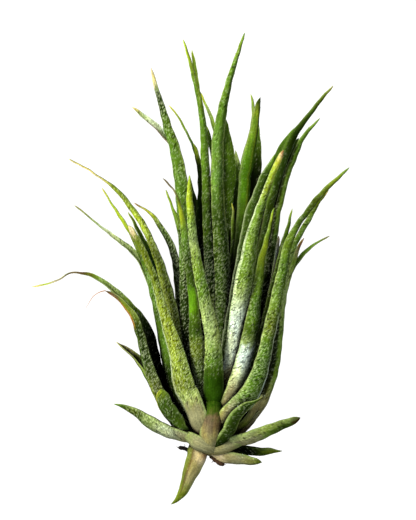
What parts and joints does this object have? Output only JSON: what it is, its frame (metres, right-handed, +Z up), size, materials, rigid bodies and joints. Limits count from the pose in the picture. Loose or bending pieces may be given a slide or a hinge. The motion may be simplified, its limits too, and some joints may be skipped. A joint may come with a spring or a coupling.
{
  "type": "air plant",
  "caption": "Air plant with narrow channelled green leaves in a dense rosette on a short stem, with small root stubs, lying on its back.",
  "frame": {"origin": "bottom centre of the plant's box, on the surface that it lies on", "axes": "+Y along the stem towards the crown, +X to the right of the plant as the picture shows it, +Z up towards the viewer"},
  "size_m": [0.0796, 0.1182, 0.0459],
  "materials": {
    "leaf_silver_green": "matte",
    "leaf_yellow_green": "matte",
    "leaf_bright_green": "matte",
    "leaf_deep_green": "matte",
    "leaf_dark_green": "matte",
    "leaf_olive_green": "matte",
    "leaf_pale_green": "matte",
    "stem_brown": "matte",
    "root_brown": "matte"
  },
  "bodies": {
    "root": {"stem": "stem_brown", "root_1": "root_brown", "root_2": "root_brown", "basal_leaf_right_1": "leaf_deep_green", "basal_leaf_right_2": "leaf_pale_green", "basal_leaf_right_3": "leaf_dark_green", "basal_leaf_right_4": "leaf_pale_green", "basal_leaf_left_1": "leaf_pale_green", "basal_leaf_left_2": "leaf_olive_green", "basal_leaf_down": "leaf_yellow_green", "basal_leaf_back": "leaf_olive_green", "outer_leaf_left_1": "leaf_yellow_green", "outer_leaf_left_2": "leaf_olive_green", "outer_leaf_left_3": "leaf_dark_green", "outer_leaf_left_4": "leaf_dark_green", "outer_leaf_left_5": "leaf_yellow_green", "outer_leaf_left_6": "leaf_bright_green", "outer_leaf_left_7": "leaf_bright_green", "outer_leaf_front_1": "leaf_silver_green", "outer_leaf_front_2": "leaf_bright_green", "outer_leaf_front_3": "leaf_silver_green", "outer_leaf_front_4": "leaf_bright_green", "outer_leaf_front_5": "leaf_deep_green", "outer_leaf_right_1": "leaf_olive_green", "outer_leaf_right_2": "leaf_dark_green", "outer_leaf_right_3": "leaf_deep_green", "middle_leaf_left_1": "leaf_deep_green", "middle_leaf_left_2": "leaf_dark_green", "middle_leaf_left_3": "leaf_dark_green", "middle_leaf_left_4": "leaf_dark_green", "middle_leaf_left_5": "leaf_silver_green", "middle_leaf_right_1": "leaf_deep_green", "middle_leaf_right_2": "leaf_deep_green", "middle_leaf_right_3": "leaf_dark_green", "middle_leaf_right_4": "leaf_dark_green", "middle_leaf_right_5": "leaf_deep_green", "middle_leaf_right_6": "leaf_pale_green", "back_leaf_1": "leaf_deep_green", "back_leaf_2": "leaf_deep_green", "back_leaf_3": "leaf_silver_green", "back_leaf_4": "leaf_bright_green", "back_leaf_5": "leaf_bright_green", "back_leaf_6": "leaf_silver_green", "back_leaf_7": "leaf_deep_green", "back_leaf_8": "leaf_deep_green", "back_leaf_9": "leaf_deep_green", "back_leaf_10": "leaf_deep_green", "inner_leaf_1": "leaf_bright_green", "inner_leaf_2": "leaf_deep_green", "inner_leaf_3": "leaf_bright_green", "inner_leaf_4": "leaf_dark_green", "inner_leaf_5": "leaf_dark_green", "inner_leaf_6": "leaf_deep_green", "inner_leaf_7": "leaf_silver_green", "inner_leaf_8": "leaf_dark_green", "inner_leaf_9": "leaf_silver_green", "inner_leaf_10": "leaf_olive_green", "inner_leaf_11": "leaf_silver_green", "inner_leaf_12": "leaf_dark_green", "inner_leaf_13": "leaf_bright_green"}
  },
  "joints": []
}
